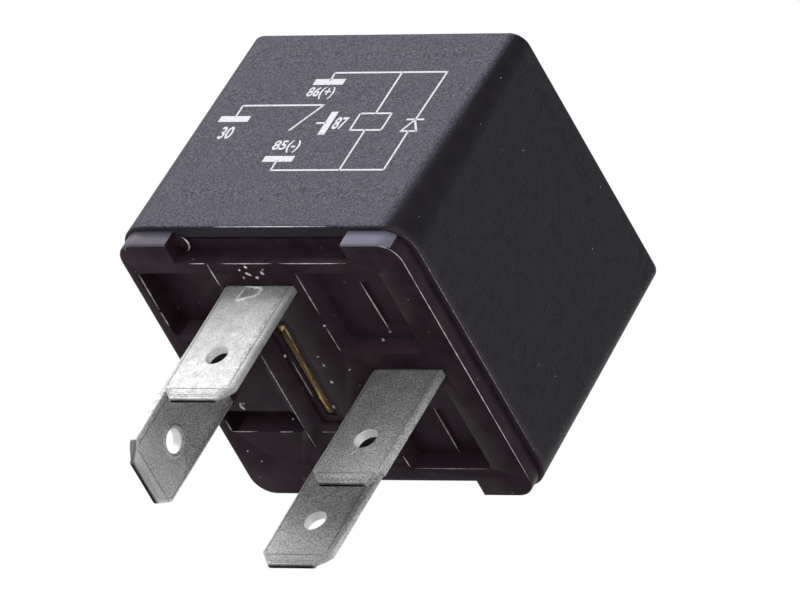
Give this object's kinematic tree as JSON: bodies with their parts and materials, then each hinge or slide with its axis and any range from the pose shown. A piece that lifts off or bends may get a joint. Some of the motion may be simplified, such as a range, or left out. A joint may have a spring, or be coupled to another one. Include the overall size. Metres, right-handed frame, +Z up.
{
  "type": "automotive cube relay",
  "caption": "Plug-in cube relay with a black moulded cover, flat blade terminals, printed circuit diagram, and a hinged armature and diode inside.",
  "frame": {"origin": "middle of the seating plane, the flat underside of the base rim", "axes": "+Z up through the cover, away from the blades; -Y out of the printed label face; +X to the right of the label"},
  "size_m": [0.0262, 0.0262, 0.0339],
  "materials": {
    "cover_plastic": "fine spark-eroded grain, semi-matt",
    "base_plastic": "moulded, semi-matt",
    "tin_plate": "matt tin plate",
    "brass_strip": "bare strip brass",
    "iron": "zinc plated soft iron",
    "bobbin_plastic": "natural nylon",
    "enamelled_copper": "enamelled copper wire",
    "tape": "polyester tape",
    "spring_bronze": "spring bronze",
    "silver": "silver alloy",
    "rivet_copper": "copper rivets",
    "diode_epoxy": "moulded epoxy",
    "tin_wire": "tinned wire"
  },
  "bodies": {
    "relay": {"cover": "cover_plastic", "base": "base_plastic", "terminal_30": "tin_plate", "terminal_87": "tin_plate", "terminal_85": "tin_plate", "terminal_86": "tin_plate", "rest_stop": "brass_strip", "yoke": "iron", "core": "iron", "bobbin": "bobbin_plastic", "coil_winding": "enamelled_copper", "coil_wrap": "tape", "coil_wire_85": "enamelled_copper", "coil_wire_86": "enamelled_copper", "fixed_contact": "silver", "yoke_rivets": "rivet_copper", "diode_body": "diode_epoxy", "diode_lead_85": "tin_wire", "diode_lead_86": "tin_wire"},
    "armature": {"armature": "iron", "contact_spring": "spring_bronze", "moving_contact": "silver", "armature_rivets": "rivet_copper"}
  },
  "joints": [
    {"name": "armature_pivot", "type": "hinge", "parent": "relay", "child": "armature", "pos_m": [0.01008, 0.00025, 0.01662], "axis": [0, -1, 0], "range_deg": [0, 3.4], "stiffness_Nm_per_rad": 0.02, "springref_deg": -11.46, "deforming": ["contact_spring"]}
  ]
}
